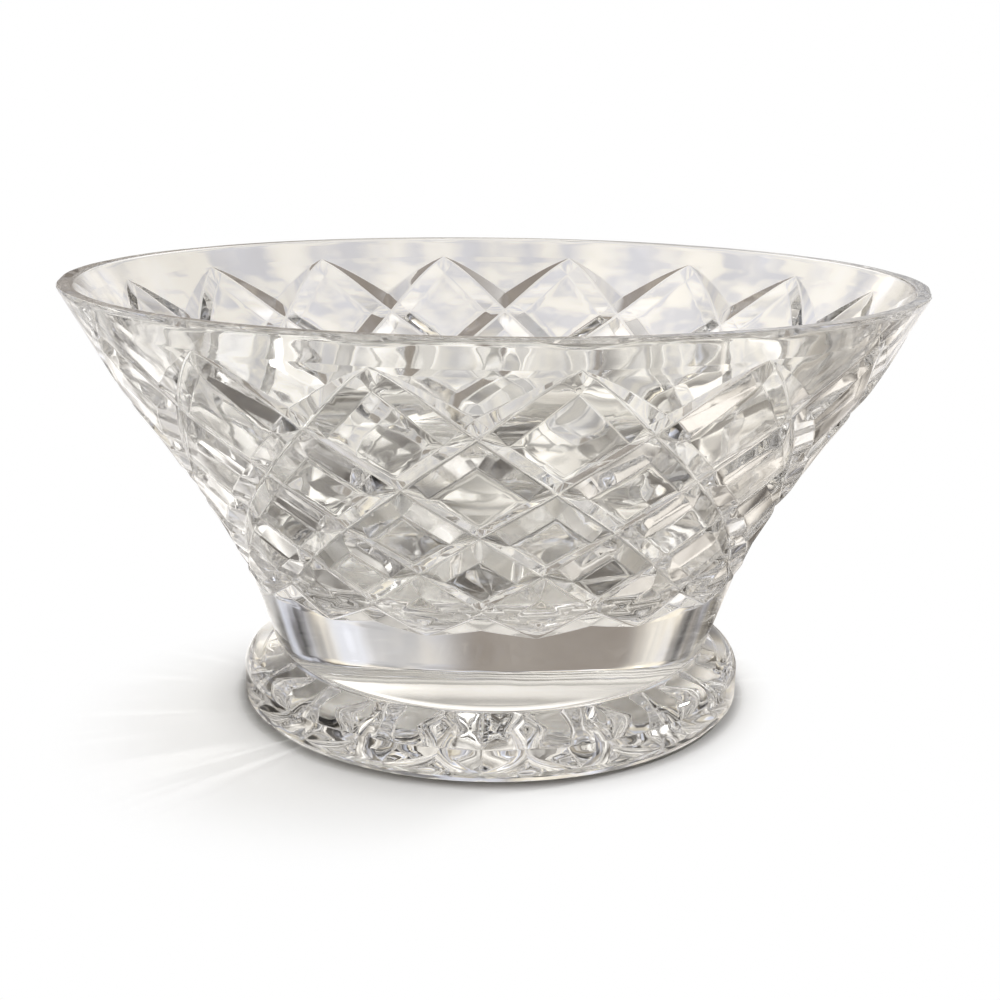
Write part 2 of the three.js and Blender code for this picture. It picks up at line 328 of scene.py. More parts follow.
# %% [markdown]
# ## Crystal
# The glass is clear lead crystal, pressed or blown thick, cut on wheels and polished. It is almost
# colourless, bends light more than window glass and shows a faint grey where it is thick. A plain glass
# shader would be too even, so roughness and surface waver a little. Roughness is close to zero on the
# polished cuts, with a little more where hands and cloths have touched them. The inside was only polished
# by the fire and is slightly hazier. The seam between vessel and foot was joined hot, so light passes
# straight through it: those faces are fully transparent.

# %% Colours and nodes


def linear(code):
    """sRGB hex to linear colour: below 0.04045 a straight line, above it a power of 2.4."""
    value = np.array([int(code[i:i + 2], 16) for i in (0, 2, 4)]) / 255
    out = np.where(value <= 0.04045, value / 12.92, ((value + 0.055) / 1.055) ** 2.4)
    return (*out.tolist(), 1.0)


def add(tree, kind, settings=None, inputs=None):
    """Adds one node: settings are its properties, inputs are socket values or links from other sockets."""
    node = tree.nodes.new(kind)
    for key, value in (settings or {}).items():
        setattr(node, key, value)
    for key, value in (inputs or {}).items():
        if isinstance(value, bpy.types.NodeSocket):
            tree.links.new(value, node.inputs[key])
        else:
            node.inputs[key].default_value = value
    return node


def new_material(name):
    """A new material and its node tree, emptied."""
    material = bpy.data.materials.new(name)
    material.use_nodes = True
    material.node_tree.nodes.clear()
    return material, material.node_tree


print("middle grey is", round(linear("808080")[0], 3), "in linear light")

# %% Cut, fire-polished and joined crystal
CRYSTAL_IOR = 1.545
WIPED_SIZE = 0.02
WIPED_HAZE = 0.02
WAVER_SIZE = 0.009
WAVER_HEIGHT = 0.0006
WAVER_STRENGTH = 0.06
CUT_HAZE = 0.0
INSIDE_HAZE = 0.025


def make_crystal(name, haze):
    """Polished lead crystal: noise of about 20 mm for wiped places, and of 9 mm for the waver of polishing.

    Haze is the roughness of a clean place.
    """
    material, tree = new_material(name)
    place = add(tree, "ShaderNodeTexCoord").outputs["Object"]
    wiped = add(tree, "ShaderNodeTexNoise", inputs={"Vector": place, "Scale": 1 / WIPED_SIZE, "Detail": 3.0})
    rough = add(tree, "ShaderNodeMapRange", inputs={
        "Value": wiped.outputs["Fac"], "From Min": 0.45, "From Max": 0.75,
        "To Min": haze, "To Max": haze + WIPED_HAZE,
    })
    waver = add(tree, "ShaderNodeTexNoise", inputs={"Vector": place, "Scale": 1 / WAVER_SIZE, "Detail": 1.0})
    bump = add(tree, "ShaderNodeBump", inputs={
        "Height": waver.outputs["Fac"], "Strength": WAVER_STRENGTH, "Distance": WAVER_HEIGHT,
    })
    glass = add(tree, "ShaderNodeBsdfPrincipled", inputs={
        "Base Color": linear("fafaf8"), "Roughness": rough.outputs["Result"], "IOR": CRYSTAL_IOR,
        "Transmission Weight": 1.0, "Normal": bump.outputs["Normal"],
    })
    add(tree, "ShaderNodeOutputMaterial", inputs={"Surface": glass.outputs["BSDF"]})
    return material


crystal = make_crystal("cut_crystal_polished", CUT_HAZE)
inside_crystal = make_crystal("crystal_fire_polished_inside", INSIDE_HAZE)
seam, seam_tree = new_material("hot_joined_seam")
clear = add(seam_tree, "ShaderNodeBsdfTransparent")
add(seam_tree, "ShaderNodeOutputMaterial", inputs={"Surface": clear.outputs["BSDF"]})
print("materials:", crystal.name, inside_crystal.name, seam.name)

# %% [markdown]
# ## The vessel
# The lattice is five rows of whole diamonds, a row of plain triangles under the lip and one above the neck.
# The inside is smooth and follows the outside at the thickness of the wall, then bends into a flat floor
# over a thick base. It could be a Solidify modifier, but the thick base and the thin lip need a profile of
# their own.

# %% The lattice
columns = np.arange(COLUMNS)
row_of, column_of = (v.ravel() for v in np.meshgrid(np.arange(LAST_ROW - 1), columns, indexing="ij"))


def tiled(grids, faces):
    """One triangle list for many equal grids: the faces of each are shifted by the points before it."""
    size = grids.shape[1] * grids.shape[2]
    return grids, (faces[None] + (np.arange(len(grids)) * size)[:, None, None]).reshape(-1, 3)


whole = tiled(diamonds(2 * column_of + 1 + row_of % 2, row_of), diamond_faces())
upper = tiled(half_diamonds(2 * columns, 0, 1, TOP_STEP), diamond_faces(half=True))
lower = tiled(half_diamonds(2 * columns, LAST_ROW, LAST_ROW - 1, LOW_STEP), diamond_faces(half=True))

half_columns = 1 + 2 * np.arange(COLUMNS * FLAT_END + 1) / FLAT_END
angles = TURN - np.pi / 2 + half_columns * HALF_COLUMN
from_point = ((half_columns % 2) - 1) * HALF_COLUMN
print("whole diamonds:", len(whole[0]), "plain triangles:", len(upper[0]) + len(lower[0]))

# %% The inside
INNER_START = -0.5
INNER_RINGS = 44
BEND_RINGS = 18
FLOOR_RINGS = 6
LIP_LEAN = 0.86
BEND_REACH = 0.45
LIP_INNER_ROUND = 0.8
LIP_INNER_RINGS = 6

inner_rows = np.linspace(INNER_START, LAST_ROW - 1, INNER_RINGS)
thick = np.interp(inner_rows, [LIP_ROW, 2], [LIP * LIP_LEAN + TOP_STEP, WALL])[:, None]
inner_wall = outline(inner_rows) - thick * outward(inner_rows)
low = inner_wall[-1]
bend_middle = [low[0] - BEND_REACH * (low[1] - FLOOR_HEIGHT), FLOOR_HEIGHT]
floor_bend = bezier([low, bend_middle, [FLOOR_RADIUS, FLOOR_HEIGHT]], BEND_RINGS)
floor = np.stack([np.linspace(0, FLOOR_RADIUS, FLOOR_RINGS), np.full(FLOOR_RINGS, FLOOR_HEIGHT)], -1)
lip_inside = bezier([
    [RIM_RADIUS - LIP - LIP_INNER_ROUND / 2, HEIGHT - LIP_INNER_ROUND], [RIM_RADIUS - LIP, HEIGHT],
    [RIM_RADIUS - LIP + LIP_INNER_ROUND, HEIGHT],
], LIP_INNER_RINGS)
inside = np.vstack([floor, floor_bend[::-1][1:-1], inner_wall[::-1], lip_inside])
inner_profile = np.repeat(inside[:, None], len(angles), 1)


def ring_points(profile):
    """Points (radius, height), one row of them for each ring, carried to their angles round the axis."""
    return np.stack([profile[..., 0] * np.cos(angles), profile[..., 0] * np.sin(angles), profile[..., 1]], -1)


inner = ring_points(inner_profile)
print("wall in mm, at the lip and low down:", np.round(thick[[0, -1], 0], 2))

# %% [markdown]
# ## The lip
# The lip is thin and flat, and over each top point of the lattice a flat facet takes off its outer edge. A
# plane cuts a round edge in the shape of a lens, so the facet's edges are worked out from that plane: how
# far in it takes the lip and how far down it reaches, at each angle. Rings close beside every edge keep the
# shading crisp.

# %% Lens facets and the plain band
FACET_REACH = 0.55
FACET_FALL = 2.6
LEAST_IN = 0.6 * LIP_ROUND
BESIDE_LIP = np.array([-0.12, 0.0])
UNDER_LIP = np.array([0.04, -0.07])
OVER_FACET_FOOT = np.array([-0.02, 0.08])
BAND_SHARES = (0.04, 0.2, 0.4, 0.6, 0.8, 1.0)

plane = RIM_RADIUS * np.cos(FACET_REACH * HALF_COLUMN)
facet_in = np.maximum(RIM_RADIUS - plane / np.cos(from_point), LEAST_IN)
facet_down = np.maximum(FACET_FALL * (RIM_RADIUS * np.cos(from_point) - plane), LIP_ROUND)
band_point = wall(0.0, 0.0, np.array(TOP_STEP))
band_foot = np.array([np.hypot(band_point[0], band_point[1]), band_point[2]])
band_lean = (RIM_RADIUS - band_foot[0]) / (HEIGHT - LIP_ROUND - band_foot[1])


def on_band(down):
    """Radius and height on the plain band under the lip, at a depth below the top of the lip."""
    return np.stack([RIM_RADIUS - band_lean * (down - LIP_ROUND), HEIGHT - down], -1)


lip_edge = np.stack([RIM_RADIUS - facet_in, np.full_like(facet_in, HEIGHT)], -1)
facet_foot = on_band(facet_down)
band_rows = [facet_foot + (band_foot - facet_foot) * t for t in BAND_SHARES]
over = np.stack([
    lip_edge + BESIDE_LIP, lip_edge + UNDER_LIP, lip_edge + 0.5 * (facet_foot - lip_edge),
    facet_foot + OVER_FACET_FOOT, *band_rows,
])
lip = ring_points(np.concatenate([inner_profile[-1:], over]))
print("lens facets reach down by up to", round(float(facet_down.max()), 2), "mm")

# %% [markdown]
# ## Neck and seam
# Below the lattice a plain neck runs down to the foot. Where the foot was joined on, a small crease is left
# all round, and it shows as a dark line. A bevelled edge could stand for it, but here the last ring of the
# neck simply steps in, and the flat seam begins at that ring.

# %% Neck, seam and the finished vessel
NECK_RINGS = 12
SEAM_RINGS = 4

neck_top = outline(LAST_ROW) - LOW_STEP * outward(LAST_ROW)
neck_end = neck + [0, CREASE]
joint = neck - [CREASE, 0]
neck_profile = np.vstack([neck_top + np.linspace(0, 1, NECK_RINGS)[:, None] * (neck_end - neck_top), joint])
neck_sheet = ring_sheet(neck_profile, angles)
seam_profile = joint * np.stack([np.linspace(1, 0, SEAM_RINGS), np.ones(SEAM_RINGS)], -1)
bowl_seam = ring_sheet(seam_profile, angles)

bowl = closed_skin("crystal_bowl", [
    (*whole, 0), (*upper, 0), (*lower, 0), (lip, sheet_faces(*lip.shape[:2]), 0),
    (*neck_sheet, 0), (*bowl_seam, 1), (inner, sheet_faces(*inner.shape[:2]), 2),
], [crystal, seam, inside_crystal])
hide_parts("bowl")
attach(bowl, "root")

# %% [markdown]
# ## The star under the foot
# Inside a narrow flat land the underside of the foot is ground slightly hollow and carries a star. Its
# leaves are V cuts that widen from the middle and close again, with a short leaf between every two long
# ones near the edge. Booleans could cut them, but here the columns of the grid follow the edges of the long
# leaves, so each leaf has a sharp bottom line and crisp sides.

# %% Leaves of the star
TABLE_BEVEL = 1.6
LAND_WIDTH = 5.0
RECESS = 0.8
STAR_RAYS = 16
STAR_RINGS = 40
STAR_DEPTH = 2.6
STAR_HALF = 6.5
STAR_SPAN = (0.03, 0.98)
SHORT_SPAN = (0.62, 0.98)
SHORT_DEPTH = 1.9
SHORT_START = 0.2
LEAF_BULGE = 1.8
LEAF_TIP = 0.9
SHORT_TIP = 0.8
LEAF_MOST = 0.98
LEAF_LEAST = 0.02
HALF_RAY = np.pi / STAR_RAYS

land = FOOT_RADIUS - TABLE_BEVEL
hollow = land - LAND_WIDTH
star_radii = np.linspace(hollow - RECESS, 0, STAR_RINGS)


def along_leaf(span):
    """Share of the way along a leaf, 0 at its inner tip and 1 at its outer one, for each ring of the star."""
    return np.clip((star_radii / hollow - span[0]) / (span[1] - span[0]), 0, 1)


part = along_leaf(STAR_SPAN)
inside_leaf = part * (1 - part) > 0
room_for_leaf = LEAF_MOST * star_radii * HALF_RAY / (1 + EDGE_ROUND)
leaf = np.minimum(STAR_HALF * np.sin(np.pi * part**LEAF_BULGE) ** LEAF_TIP, room_for_leaf)
leaf_share = np.where(inside_leaf, leaf / np.maximum(star_radii * HALF_RAY, 1e-6), 0)
star_depth = STAR_DEPTH / STAR_HALF * leaf * inside_leaf
short_depth = SHORT_DEPTH * np.sin(np.pi * along_leaf(SHORT_SPAN)) ** SHORT_TIP
print("widest leaf in mm:", round(float(2 * leaf.max()), 1), "deepest:", round(float(star_depth.max()), 2))

# %% The grid of the star
flank = np.array([0, EDGE_ROUND, 0.35, 0.65, 1 - EDGE_ROUND, 1 + EDGE_ROUND])
flank_sink = np.array([1 - EDGE_ROUND / 2, 1 - EDGE_ROUND, 0.65, 0.35, EDGE_ROUND, 0])
between = np.linspace(0, 1, 6)[1:]


def ray_columns(share):
    """Angles across the foot when a leaf takes this share of each half ray, from ray to ray."""
    share = np.asarray(share, float)[:, None]
    edge = (1 + EDGE_ROUND) * share
    half = np.concatenate([flank * share, edge + between * (1 - edge)], 1)
    sector = np.concatenate([half, 2 - half[:, -2:0:-1]], 1)
    start = 2 * np.arange(STAR_RAYS)[None, :, None]
    whole_turn = (start + sector[:, None, :]).reshape(len(share), -1)
    return np.concatenate([whole_turn, np.full((len(share), 1), 2.0 * STAR_RAYS)], 1) * HALF_RAY + TURN


def all_round(half):
    """Values across half a ray, mirrored to a whole ray and repeated for all; the last closes the turn."""
    sector = np.concatenate([half, half[-2:0:-1]])
    return np.append(np.tile(sector, STAR_RAYS), sector[0])


star_sink = all_round(np.concatenate([flank_sink, 0 * between]))
short_rise = np.clip((between - SHORT_START) / (1 - SHORT_START), 0, 1)
short_sink = all_round(np.concatenate([0 * flank, short_rise]))
star_angles = ray_columns(np.maximum(leaf_share, LEAF_LEAST))
star_points = np.stack([
    star_radii[:, None] * np.cos(star_angles), star_radii[:, None] * np.sin(star_angles),
    RECESS + star_depth[:, None] * star_sink + short_depth[:, None] * short_sink,
], -1)
print("points under the foot:", star_points.shape[0] * star_points.shape[1])

# %% [markdown]
# ## The foot
# The foot is a thick disc: a nearly flat top that falls a little from the seam, a tight shoulder, an
# upright side and a small bevel at the table. A cylinder with a Bevel modifier would come close, but its
# top would be level, so the profile is drawn as lines and one Bezier curve and carried round the axis.

# %% The finished foot
# Control points of the shoulder, as offsets from the corner of the foot's side and top.
SHOULDER = np.array([[-3.6, -1.7], [-0.6, -2.6], [0.1, -5.4]])
SHOULDER_RINGS = 14
TOP_RINGS = 8
SIDE_RINGS = 7
LAND_ROUND = np.array([0.25, 0.18])
EVEN_SHARE = 0.5

even = ray_columns([EVEN_SHARE])[0]
shoulder = bezier(SHOULDER + [FOOT_RADIUS, FOOT_HEIGHT], SHOULDER_RINGS)
top = joint + np.linspace(0, 1, TOP_RINGS)[:-1, None] * (shoulder[0] - joint)
side_foot = np.array([FOOT_RADIUS, TABLE_BEVEL])
drop = shoulder[-1] + np.linspace(0, 1, SIDE_RINGS)[1:, None] * (side_foot - shoulder[-1])
land_edge = np.array([land, 0])
foot_profile = np.vstack([top, shoulder, drop, land_edge + LAND_ROUND, land_edge, [hollow, 0]])
foot_side = ring_sheet(foot_profile, even)
rim_of_hollow = np.stack([
    np.stack([hollow * np.cos(even), hollow * np.sin(even), 0 * even], -1), star_points[0],
])
foot_seam = ring_sheet(seam_profile[::-1], even)
foot = closed_skin("crystal_foot", [
    (*foot_side, 0), (rim_of_hollow, sheet_faces(*rim_of_hollow.shape[:2]), 0),
    (star_points, sheet_faces(*star_points.shape[:2]), 0), (*foot_seam, 1),
], [crystal, seam])
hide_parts("foot")
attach(foot, "root")

# %% [markdown]
# ## The table
# The bowl stands on a white table, with a soft shadow and a few streaks of light beside the foot. Light
# through cut glass could be traced, but it needs very many samples, so the streaks are painted light in the
# table's colour. The shadow is the lamp's own; painted shade rings darken it at the foot, and it fades out.
# The camera sees the rest of the table as plain white. The crystal bends the view of the table many times
# over, and white alone would leave it empty, so the table it shows is a mottled pale stone, with painted
# spots brighter than white, larger and fainter mottling far away, a painted shade to the right of the bowl,
# and a painted glow that is dim under the middle of the foot and brightest under its rim.

# %% The table top
TABLE_HALF = 6.0
TABLE_DROP = 0.05 * MM

floor_mesh = bpy.data.meshes.new("floor")
corners = np.array([[-1, -1, 0], [1, -1, 0], [1, 1, 0], [-1, 1, 0]]) * TABLE_HALF - [0, 0, TABLE_DROP]
floor_mesh.from_pydata(corners, [], [(0, 1, 2, 3)])
table = bpy.data.objects.new("floor", floor_mesh)
bpy.context.scene.collection.objects.link(table)
print("side of the table in m:", 2 * TABLE_HALF)

# %% Rings of painted light and shade round the foot
SMOOTH = {"interpolation_type": "SMOOTHSTEP"}
STEP_SOCKETS = ("Value", "From Min", "From Max", "To Min", "To Max")
# Soft steps: distance from the axis at their start and end in metres, and value before and after.
TABLE_RINGS = {
    "white_start": (0.064, 0.076, 0.0, 1.0),
    # under_foot and outside: painted glow seen through the glass, dim under the middle of the foot, brightest
    # under its rim.
    "under_foot": (0.048, 0.056, 0.12, 0.85),
    "outside": (0.062, 0.074, 0.0, 0.32),
    # beside and contact: painted shade that the camera sees, darkest at the foot's edge.
    "beside": (0.061, 0.080, 0.36, 0.6),
    "contact": (0.0635, 0.068, -0.5, 0.0),
    "far": (0.07, 0.50, 0.1, 1.0),
}

white, tree = new_material("white_table")
place = add(tree, "ShaderNodeTexCoord").outputs["Object"]
away = add(tree, "ShaderNodeVectorMath", {"operation": "LENGTH"}, {0: place}).outputs["Value"]
ring = {}
for name, step in TABLE_RINGS.items():
    node = add(tree, "ShaderNodeMapRange", SMOOTH, dict(zip(STEP_SOCKETS, (away, *step))))
    ring[name] = node.outputs["Result"]
# Painted glow for rays through the glass, and painted contact shade for the camera's rays.
glow = add(tree, "ShaderNodeMath", {"operation": "SUBTRACT"}, {0: ring["under_foot"], 1: ring["outside"]})
darker = add(tree, "ShaderNodeMath", {"operation": "ADD"}, {0: ring["beside"], 1: ring["contact"]})
print("rings of the table:", ", ".join(ring))

# %% Shadow fade and painted streaks of light
SHADOW_MIDDLE = (-0.030, -0.025, 0.0)
SHADOW_STEP = (0.035, 0.080, 0.0, 1.0)
STREAK_MIDDLE = (-0.015, -0.015, 0.0)
STREAK_STEP = (0.53, 0.66, 0.0, 0.14)
STREAKS_TO_RADIAN = 16.0
FAN_STEP = (0.70, 1.0, 1.0, 0.0)

camera_ray = add(tree, "ShaderNodeLightPath").outputs["Is Camera Ray"]
shadow_way = add(tree, "ShaderNodeVectorMath", {"operation": "DISTANCE"}, {0: place, 1: SHADOW_MIDDLE})
shadow_end = add(tree, "ShaderNodeMapRange", SMOOTH, dict(zip(
    STEP_SOCKETS, (shadow_way.outputs["Value"], *SHADOW_STEP),
)))
fade = add(tree, "ShaderNodeMath", {"operation": "MINIMUM"}, {
    0: shadow_end.outputs["Result"], 1: ring["white_start"],
})
plain_white = add(tree, "ShaderNodeMath", {"operation": "MULTIPLY"}, {0: camera_ray, 1: fade.outputs[0]})

# Painted light: bright streaks fanning out to the left of the foot, where light through the cuts would fall.
fan = add(tree, "ShaderNodeVectorMath", {"operation": "SUBTRACT"}, {0: STREAK_MIDDLE, 1: place})
fan_way = add(tree, "ShaderNodeSeparateXYZ", inputs={"Vector": fan.outputs["Vector"]})
turn = add(tree, "ShaderNodeMath", {"operation": "ARCTAN2"}, {
    0: fan_way.outputs["Y"], 1: fan_way.outputs["X"],
})
fan_place = add(tree, "ShaderNodeCombineXYZ", inputs={"X": turn.outputs[0], "Y": away})
rays = add(tree, "ShaderNodeTexNoise", inputs={
    "Vector": fan_place.outputs[0], "Scale": STREAKS_TO_RADIAN, "Detail": 1.0,
})
streaks = add(tree, "ShaderNodeMapRange", SMOOTH, dict(zip(
    STEP_SOCKETS, (rays.outputs["Fac"], *STREAK_STEP),
)))
fan_end = add(tree, "ShaderNodeMapRange", SMOOTH, dict(zip(STEP_SOCKETS, (turn.outputs[0], *FAN_STEP))))
streak_light = add(tree, "ShaderNodeMath", {"operation": "MULTIPLY"}, {
    0: streaks.outputs["Result"], 1: fan_end.outputs["Result"],
})
seen = add(tree, "ShaderNodeMath", {"operation": "ADD"}, {0: darker.outputs[0], 1: streak_light.outputs[0]})
# Painted light and shade: the glass sees the painted glow, the camera the painted contact shade and streaks.
lift = add(tree, "ShaderNodeMix", {"data_type": "FLOAT"}, {
    "Factor": camera_ray, "A": glow.outputs[0], "B": seen.outputs[0],
})
print("shadow ends at", SHADOW_STEP[1], "m from its middle")

# %% Mottled stone, near and far
STONE_SIZE = 0.08
STONE_TONES = ((0.415, "4f4943"), (0.54, "fffdf9"))
# Painted light: past this point the stone is brighter than white, spots that the crystal shows as sparkle.
STONE_GLOW_AT = 0.63
STONE_GLOW = (1.6, 1.59, 1.57, 1.0)
FAR_TONES = ((0.38, "cbcbd0"), (0.62, "eae7e1"))
FAR_SIGHT = 0.2
FAR_SCALE = 24.0

mottle = add(tree, "ShaderNodeTexNoise", inputs={"Vector": place, "Scale": 1 / STONE_SIZE, "Detail": 2.0})
stone = add(tree, "ShaderNodeValToRGB", inputs={"Fac": mottle.outputs["Fac"]})
# Far off, the noise runs over the direction and one over the distance, so spots look alike from the bowl.
heading = add(tree, "ShaderNodeVectorMath", {"operation": "NORMALIZE"}, {0: place})
sight = add(tree, "ShaderNodeMath", {"operation": "DIVIDE"}, {0: FAR_SIGHT, 1: away})
lifted = add(tree, "ShaderNodeCombineXYZ", inputs={"Z": sight.outputs[0]})
far_place = add(tree, "ShaderNodeVectorMath", {"operation": "ADD"}, {
    0: heading.outputs["Vector"], 1: lifted.outputs["Vector"],
})
far_mottle = add(tree, "ShaderNodeTexNoise", inputs={
    "Vector": far_place.outputs["Vector"], "Scale": FAR_SCALE, "Detail": 2.0,
})
far_stone = add(tree, "ShaderNodeValToRGB", inputs={"Fac": far_mottle.outputs["Fac"]})
for ramp_node, stops in ((stone, STONE_TONES), (far_stone, FAR_TONES)):
    for element, (position, code) in zip(ramp_node.color_ramp.elements, stops):
        element.position, element.color = position, linear(code)
stone.color_ramp.elements.new(STONE_GLOW_AT).color = STONE_GLOW
table_tone = add(tree, "ShaderNodeMix", {"data_type": "RGBA"}, {
    "Factor": ring["far"], "A": stone.outputs["Color"], "B": far_stone.outputs["Color"],
})
print("stone mottling of about", STONE_SIZE / MM, "mm")

# %% The table's material, with painted shade and glow
# Painted shade: seen through the glass, the table is darker round a point to the right of the bowl.
SHADE_MIDDLE = (0.17, 0.02, 0.0)
SHADE_STEP = (0.07, 0.26, 1.0, 0.0)

shade_way = add(tree, "ShaderNodeVectorMath", {"operation": "DISTANCE"}, {0: place, 1: SHADE_MIDDLE})
shade = add(tree, "ShaderNodeMapRange", SMOOTH, dict(zip(
    STEP_SOCKETS, (shade_way.outputs["Value"], *SHADE_STEP),
)))
shaded = add(tree, "ShaderNodeMix", {"data_type": "RGBA", "blend_type": "MULTIPLY"}, {
    "Factor": shade.outputs["Result"], "A": table_tone.outputs["Result"], "B": linear("ccc8c3"),
})
tone = add(tree, "ShaderNodeMix", {"data_type": "RGBA"}, {
    "Factor": camera_ray, "A": shaded.outputs["Result"], "B": linear("e6e6e5"),
})
# The emission carries the painted glow, shade and streaks; the diffuse paint adds the lamp's real shadow.
near_glow = add(tree, "ShaderNodeEmission", inputs={
    "Color": tone.outputs["Result"], "Strength": lift.outputs["Result"],
})
paint = add(tree, "ShaderNodeBsdfDiffuse", inputs={"Color": tone.outputs["Result"]})
near_table = add(tree, "ShaderNodeAddShader", inputs={0: paint.outputs[0], 1: near_glow.outputs[0]})
far_table = add(tree, "ShaderNodeEmission", inputs={"Color": linear("ffffff"), "Strength": 1.0})
both = add(tree, "ShaderNodeMixShader", inputs={
    0: plain_white.outputs[0], 1: near_table.outputs[0], 2: far_table.outputs[0],
})
add(tree, "ShaderNodeOutputMaterial", inputs={"Surface": both.outputs[0]})
floor_mesh.materials.append(white)
print("nodes in the table's finish:", len(tree.nodes))

# %% [markdown]
# ## The room
# Glass shows what is around it, so the room makes the picture. It could be modelled with walls and windows,
# but soft patches of noise on the world are enough: grey and warm tones, with bright panes where the noise
# is highest. The room is brightest behind the bowl, dimmer on the camera's side and lit from above. It is
# dark at both sides, which gives the edges of the glass dark lines. Low behind the bowl the patches fade to
# a calm grey wall with a brown screen before it. The camera itself sees plain white.

# %% Patches, panes and tints
PATCH_SCALE = 3.0
TINT_SCALE = 5.0
PATCH_TONES = ((0.38, "1e1d1c"), (0.44, "87837f"), (0.50, "e0ddda"), (0.55, "ffffff"), (0.59, "ffffff"))
PANE_AT = 0.66
PANE = (2.2, 2.2, 2.2, 1.0)
TINTS = ((0.42, "f8efdd"), (0.58, "e8ecfb"))

world = bpy.data.worlds.new("room")
bpy.context.scene.world = world
world.use_nodes = True
room_tree = world.node_tree
room_tree.nodes.clear()
way = add(room_tree, "ShaderNodeTexCoord").outputs["Generated"]
patches = add(room_tree, "ShaderNodeTexNoise", inputs={
    "Vector": way, "Scale": PATCH_SCALE, "Detail": 3.0, "Roughness": 0.6,
})
tones = add(room_tree, "ShaderNodeValToRGB", inputs={"Fac": patches.outputs["Fac"]})
pane = tones.color_ramp.elements[1]
pane.position, pane.color = PANE_AT, PANE
darkest = tones.color_ramp.elements[0]
darkest.position, darkest.color = PATCH_TONES[0][0], linear(PATCH_TONES[0][1])
for position, code in PATCH_TONES[1:]:
    tones.color_ramp.elements.new(position).color = linear(code)
hue = add(room_tree, "ShaderNodeTexNoise", inputs={"Vector": way, "Scale": TINT_SCALE, "Detail": 1.0})
tint = add(room_tree, "ShaderNodeValToRGB", inputs={"Fac": hue.outputs["Fac"]})
for element, (position, code) in zip(tint.color_ramp.elements, TINTS):
    element.position, element.color = position, linear(code)
tinted = add(room_tree, "ShaderNodeMix", {"data_type": "RGBA", "blend_type": "MULTIPLY"}, {
    "Factor": 1.0, "A": tones.outputs["Color"], "B": tint.outputs["Color"],
})
print("tones of the room:", [round(e.position, 2) for e in tones.color_ramp.elements])

# %% Directions and levels in the room
LEAST_AHEAD = 0.02

compass = add(room_tree, "ShaderNodeSeparateXYZ", inputs={"Vector": way})
aside = add(room_tree, "ShaderNodeMath", {"operation": "ABSOLUTE"}, {0: compass.outputs["X"]})
ahead = add(room_tree, "ShaderNodeMath", {"operation": "MAXIMUM"}, {
    0: compass.outputs["Y"], 1: LEAST_AHEAD,
})
across = add(room_tree, "ShaderNodeMath", {"operation": "DIVIDE"}, {
    0: compass.outputs["X"], 1: ahead.outputs[0],
})
rise = add(room_tree, "ShaderNodeMath", {"operation": "DIVIDE"}, {
    0: compass.outputs["Z"], 1: ahead.outputs[0],
})
# Soft steps: what each follows, where it starts and ends, and its value before and after.
ROOM_STEPS = {
    "behind": (compass.outputs["Y"], 0.3, 0.9, 0.42, 0.92),
    "lower": (compass.outputs["Z"], 0.20, 0.45, 1.0, 0.7),
    "above": (compass.outputs["Z"], 0.35, 0.8, 0.0, 0.75),
    "flags": (aside.outputs[0], 0.66, 0.90, 1.45, 0.5),
    "screen_left": (across.outputs[0], -0.66, -0.40, 0.0, 1.0),
    "screen_right": (across.outputs[0], 0.20, 0.02, 0.0, 1.0),
    "screen_top": (rise.outputs[0], 0.34, 0.16, 0.0, 1.0),
    "calm": (rise.outputs[0], 0.30, 0.10, 0.0, 0.7),
}
room = {}
for name, step in ROOM_STEPS.items():
    node = add(room_tree, "ShaderNodeMapRange", SMOOTH, dict(zip(STEP_SOCKETS, step)))
    room[name] = node.outputs["Result"]
wall_level = add(room_tree, "ShaderNodeMath", {"operation": "MULTIPLY"}, {
    0: room["behind"], 1: room["lower"],
})
level = add(room_tree, "ShaderNodeMath", {"operation": "MAXIMUM"}, {
    0: wall_level.outputs[0], 1: room["above"],
})
strength = add(room_tree, "ShaderNodeMath", {"operation": "MULTIPLY"}, {
    0: level.outputs[0], 1: room["flags"],
})
screen = room["screen_left"]
for limit in ("screen_right", "screen_top"):
    inputs = {0: screen, 1: room[limit]}
    screen = add(room_tree, "ShaderNodeMath", {"operation": "MULTIPLY"}, inputs).outputs[0]
print("steps of the room:", ", ".join(room))

# %% The finished room
plain_wall = add(room_tree, "ShaderNodeMix", {"data_type": "RGBA"}, {
    "Factor": room["calm"], "A": tinted.outputs["Result"], "B": linear("c9c8ca"),
})
furnished = add(room_tree, "ShaderNodeMix", {"data_type": "RGBA"}, {
    "Factor": screen, "A": plain_wall.outputs["Result"], "B": linear("857d76"),
})
surroundings = add(room_tree, "ShaderNodeBackground", inputs={
    "Color": furnished.outputs["Result"], "Strength": strength.outputs[0],
})
backdrop = add(room_tree, "ShaderNodeBackground", inputs={"Color": linear("ffffff"), "Strength": 1.0})
to_camera = add(room_tree, "ShaderNodeLightPath").outputs["Is Camera Ray"]
choice = add(room_tree, "ShaderNodeMixShader", inputs={
    0: to_camera, 1: surroundings.outputs[0], 2: backdrop.outputs[0],
})
add(room_tree, "ShaderNodeOutputWorld", inputs={"Surface": choice.outputs[0]})
print("nodes in the room:", len(room_tree.nodes))

# %% [markdown]
# ## Lamp and camera
# One small lamp behind on the right gives the cuts their sparkle and the foot its shadow. A sun would do
# the same, but a small square of light keeps the shadow's edge soft. The camera stands where the photograph
# was taken from: a little above the rim and close, so the front of the lattice looks larger than the back.

# %% Lamp
LAMP_SIZE = 0.10
LAMP_WATTS = 5.0
LAMP_PLACE = (0.85, 0.40, 0.70)
LAMP_TARGET = (0, 0, 0.05)


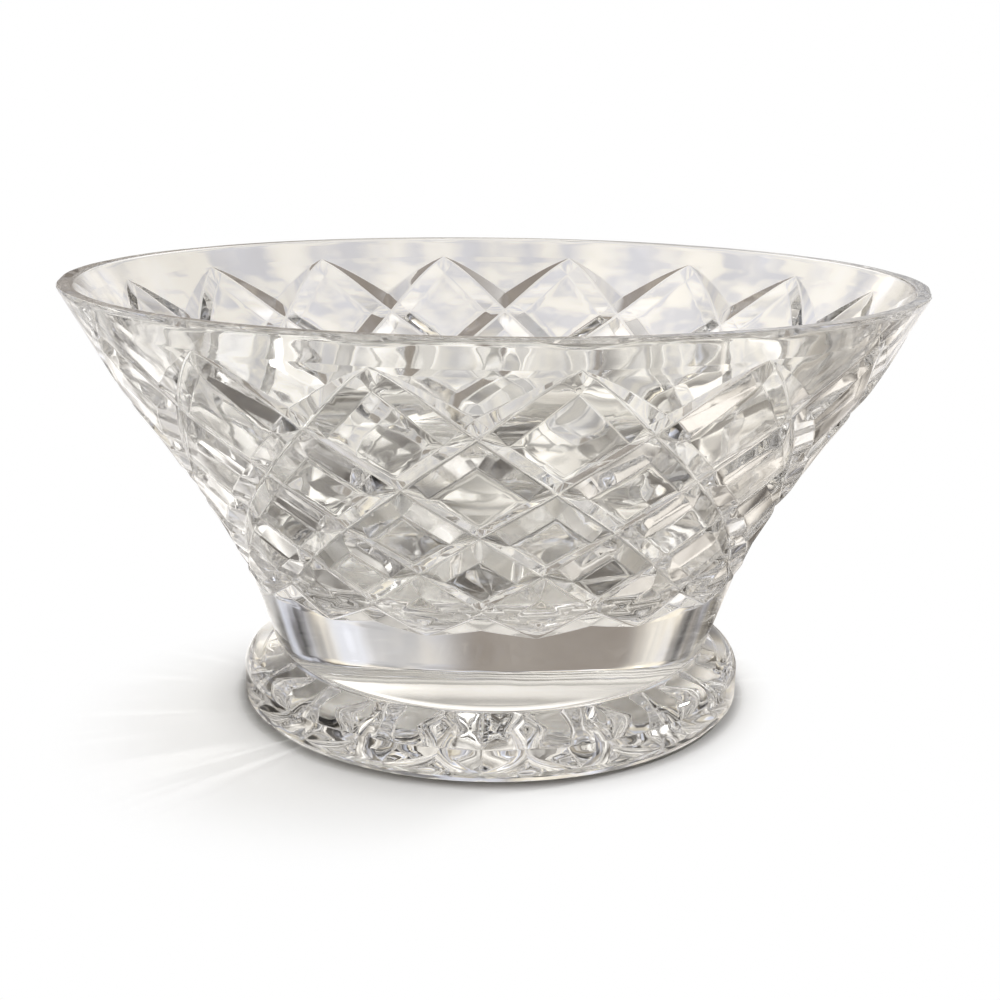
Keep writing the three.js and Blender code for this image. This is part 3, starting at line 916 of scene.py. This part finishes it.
def aim(eye, target, roll=0.0):
    """Frame of a camera or lamp at eye that looks at target: its own z points back, x to the right."""
    back = np.asarray(eye, float) - np.asarray(target, float)
    back /= np.linalg.norm(back)
    right = np.cross([0, 0, 1], back)
    right /= np.linalg.norm(right)
    up = np.cross(back, right)
    x, y = np.cos(roll) * right + np.sin(roll) * up, np.cos(roll) * up - np.sin(roll) * right
    frame_of = np.eye(4)
    frame_of[:3] = np.stack([x, y, back, eye], 1)
    return Matrix(frame_of.tolist())


lamp = bpy.data.lights.new("window", "AREA")
lamp.shape = "RECTANGLE"
lamp.size, lamp.size_y = LAMP_SIZE, LAMP_SIZE
lamp.energy = LAMP_WATTS
lamp_object = bpy.data.objects.new("window", lamp)
bpy.context.scene.collection.objects.link(lamp_object)
lamp_object.matrix_world = aim(LAMP_PLACE, LAMP_TARGET)
lamp_object.visible_transmission = False
print("lamp at", LAMP_PLACE, "with", LAMP_WATTS, "W")

# %% Camera
CAMERA_DISTANCE = 376.3 * MM
CAMERA_HEIGHT = 149.1 * MM
CAMERA_TURNS = np.radians([0.29, 14.82, 0.71])
FOCAL_PIXELS = 1506.9
PICTURE_PIXELS = 1000
SENSOR = 36.0
GLASS_BOUNCES = 32
GLOSS_BOUNCES = 24

yaw, pitch, roll = CAMERA_TURNS
eye = np.array([0, -CAMERA_DISTANCE, CAMERA_HEIGHT])
look = np.array([np.sin(yaw) * np.cos(pitch), np.cos(yaw) * np.cos(pitch), -np.sin(pitch)])
camera = bpy.data.cameras.new("camera")
camera.sensor_width = SENSOR
camera.lens = FOCAL_PIXELS * SENSOR / PICTURE_PIXELS
camera.clip_start = 10 * MM
camera_object = bpy.data.objects.new("camera", camera)
bpy.context.scene.collection.objects.link(camera_object)
camera_object.matrix_world = aim(eye, eye + look, roll)
scene = bpy.context.scene
scene.camera = camera_object
scene.view_settings.view_transform = "Standard"
scene.cycles.max_bounces = GLASS_BOUNCES
scene.cycles.transmission_bounces = GLASS_BOUNCES
scene.cycles.transparent_max_bounces = GLASS_BOUNCES
scene.cycles.glossy_bounces = GLOSS_BOUNCES
print("lens in mm:", round(camera.lens, 2))
